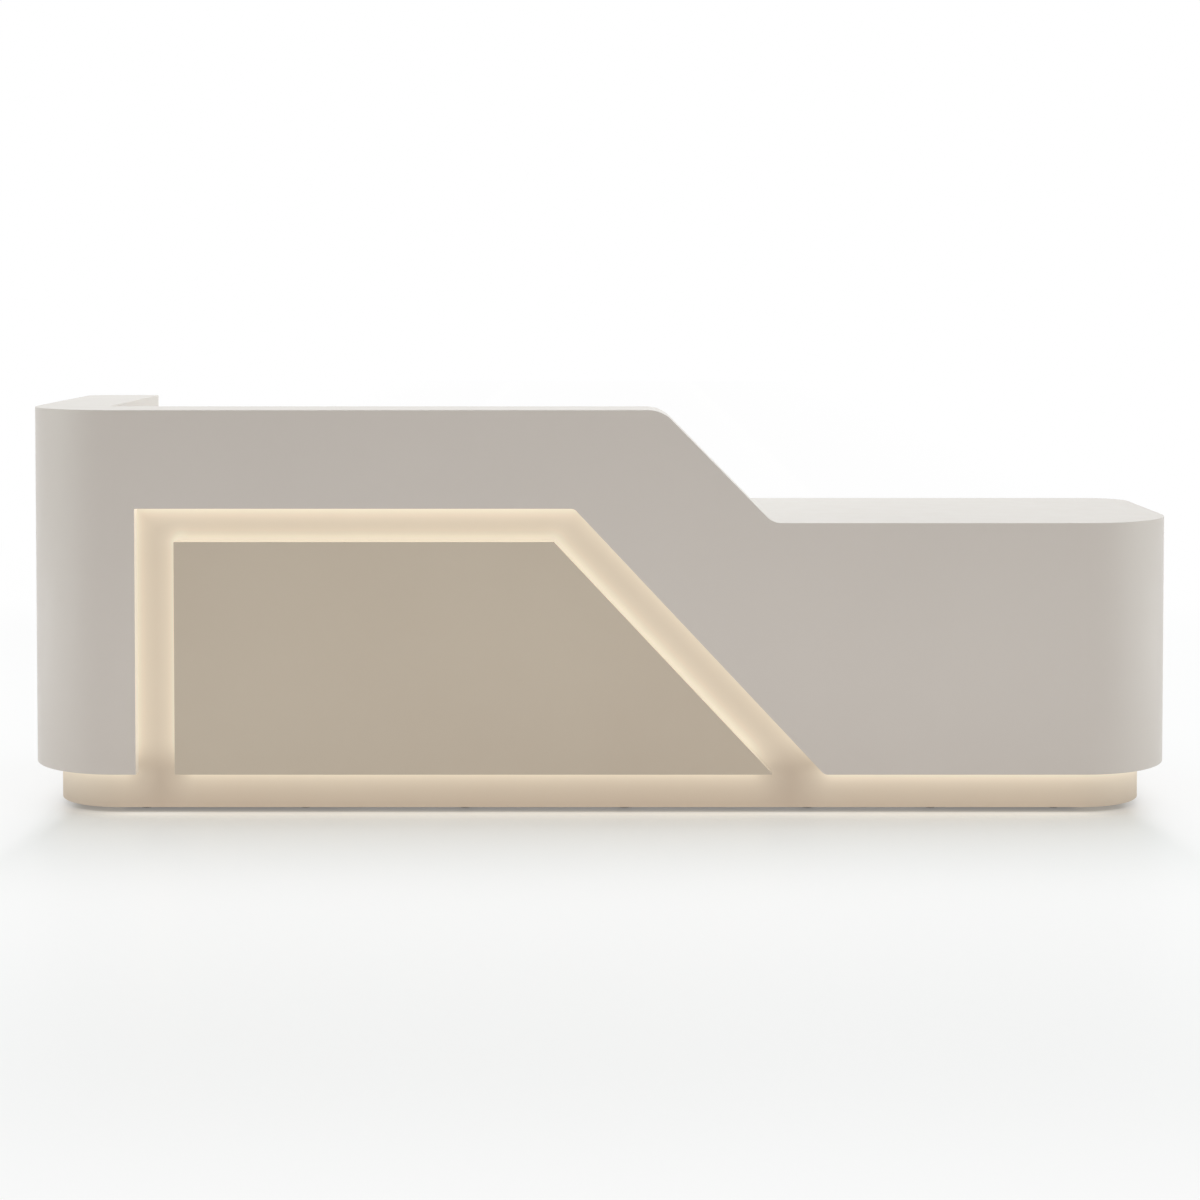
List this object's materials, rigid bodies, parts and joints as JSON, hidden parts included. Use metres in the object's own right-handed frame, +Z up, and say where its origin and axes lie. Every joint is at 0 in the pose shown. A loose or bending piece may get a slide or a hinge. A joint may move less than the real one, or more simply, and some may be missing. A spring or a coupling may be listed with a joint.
{
  "type": "reception desk",
  "caption": "Lit reception desk with rounded corners, a raised counter that slopes down to a low counter, a trapezoid inset panel, a staff worktop, cupboard and drawers.",
  "frame": {"origin": "on the floor, at the middle of the desk's width and of its overall depth", "axes": "+X along the desk to a visitor's right, -Y out of the visitor face, +Z up"},
  "size_m": [3, 0.9, 1.05],
  "materials": {
    "shell_lacquer": "warm white satin lacquer on fibreboard",
    "panel_champagne": "beige satin lacquer on fibreboard",
    "backing_cream": "cream matt lacquer on fibreboard",
    "white_board": "warm white melamine faced board",
    "drawer_board": "light grey melamine faced board",
    "raw_board": "raw fibreboard",
    "satin_steel": "satin nickel",
    "zinc_steel": "zinc plated",
    "profile_aluminium": "anodised",
    "led_light": "lit warm white",
    "driver_case": "anodised case",
    "grey_plastic": "dark grey matt",
    "switch_plastic": "white gloss"
  },
  "bodies": {
    "desk": {"front_shell": "shell_lacquer", "shell_left": "shell_lacquer", "shell_right": "shell_lacquer", "wing_end_post": "shell_lacquer", "high_counter_top": "shell_lacquer", "slope_capping": "shell_lacquer", "low_counter_top": "shell_lacquer", "worktop": "shell_lacquer", "inset_panel": "panel_champagne", "backboard_front": "backing_cream", "backboard_left": "backing_cream", "backboard_right": "backing_cream", "wall_inner_panel": "white_board", "wing_inner_panel": "white_board", "plinth_boards": "white_board", "cupboard_base": "white_board", "cupboard_shelf": "white_board", "cupboard_sides": "white_board", "pedestal_base": "white_board", "pedestal_sides": "white_board", "pedestal_top_rail": "white_board", "wall_ribs": "raw_board", "standoff_battens": "raw_board", "base_plates": "raw_board", "hinge_fixed_leaves": "satin_steel", "hinge_pins": "satin_steel", "shelf_pins": "satin_steel", "pedestal_runners": "zinc_steel", "worktop_brackets": "zinc_steel", "joining_plates": "zinc_steel", "foot_nuts": "zinc_steel", "led_profiles": "profile_aluminium", "led_strips": "led_light", "led_driver": "driver_case", "grommets": "grey_plastic", "mains_gland": "grey_plastic", "levelling_feet": "grey_plastic", "switch_plate": "switch_plastic"},
    "door_left": {"door_left_panel": "white_board", "door_left_handle": "satin_steel", "door_left_hinge_leaves": "satin_steel"},
    "door_right": {"door_right_panel": "white_board", "door_right_handle": "satin_steel", "door_right_hinge_leaves": "satin_steel"},
    "drawer_top": {"drawer_top_front": "white_board", "drawer_top_box": "drawer_board", "drawer_top_handle": "satin_steel", "drawer_top_runners": "zinc_steel", "drawer_lock_housing": "satin_steel"},
    "drawer_middle": {"drawer_middle_front": "white_board", "drawer_middle_box": "drawer_board", "drawer_middle_handle": "satin_steel", "drawer_middle_runners": "zinc_steel"},
    "drawer_bottom": {"drawer_bottom_front": "white_board", "drawer_bottom_box": "drawer_board", "drawer_bottom_handle": "satin_steel", "drawer_bottom_runners": "zinc_steel"},
    "lock_plug": {"drawer_lock_plug": "satin_steel"},
    "light_rocker": {"switch_rocker": "switch_plastic"}
  },
  "joints": [
    {"name": "drawer_top_slide", "type": "slide", "parent": "desk", "child": "drawer_top", "axis": [0, 1, 0], "range_m": [0, 0.36]},
    {"name": "drawer_middle_slide", "type": "slide", "parent": "desk", "child": "drawer_middle", "axis": [0, 1, 0], "range_m": [0, 0.36]},
    {"name": "drawer_bottom_slide", "type": "slide", "parent": "desk", "child": "drawer_bottom", "axis": [0, 1, 0], "range_m": [0, 0.36]},
    {"name": "door_left_hinge", "type": "hinge", "parent": "desk", "child": "door_left", "pos_m": [-1.281, 0.258, 0.426], "axis": [0, 0, 1], "range_deg": [0, 90]},
    {"name": "door_right_hinge", "type": "hinge", "parent": "desk", "child": "door_right", "pos_m": [-0.719, 0.258, 0.426], "axis": [0, 0, -1], "range_deg": [0, 105]},
    {"name": "lock_turn", "type": "hinge", "parent": "drawer_top", "child": "lock_plug", "pos_m": [1.33053, 0.254, 0.675], "axis": [0, 1, 0], "range_deg": [0, 90]},
    {"name": "light_rocker_tilt", "type": "hinge", "parent": "desk", "child": "light_rocker", "pos_m": [-0.6, -0.243, 0.903], "axis": [1, 0, 0], "range_deg": [-4, 4]}
  ]
}
